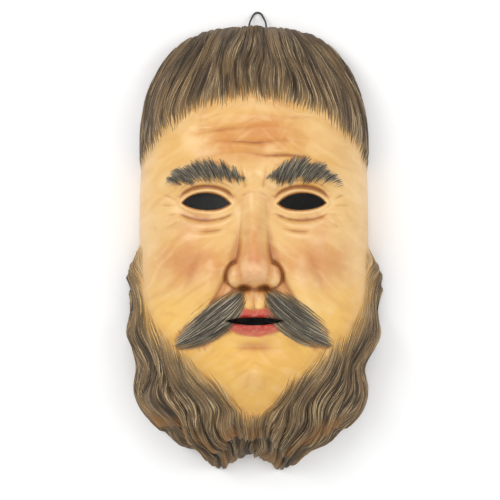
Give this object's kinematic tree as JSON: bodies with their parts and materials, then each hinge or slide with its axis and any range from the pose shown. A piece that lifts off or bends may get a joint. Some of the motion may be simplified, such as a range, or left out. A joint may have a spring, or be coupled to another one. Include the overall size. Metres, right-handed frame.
{
  "type": "carnival mask",
  "caption": "Carved and painted wooden carnival mask of a bearded old man, hollow behind, with eye and mouth openings and a hanging loop.",
  "frame": {"origin": "centre of the mask's outline, on the flat back rim it lies on", "axes": "+X across the face, +Y up to the crown, +Z out of the face"},
  "size_m": [0.2087, 0.372, 0.1091],
  "materials": {
    "painted_wood": "carved lime wood with a painted skin tone, combed grey-brown hair and a satin varnish",
    "waxed_cord": "dark waxed cord"
  },
  "bodies": {
    "root": {"carved_mask": "painted_wood", "hanging_cord": "waxed_cord"}
  },
  "joints": []
}
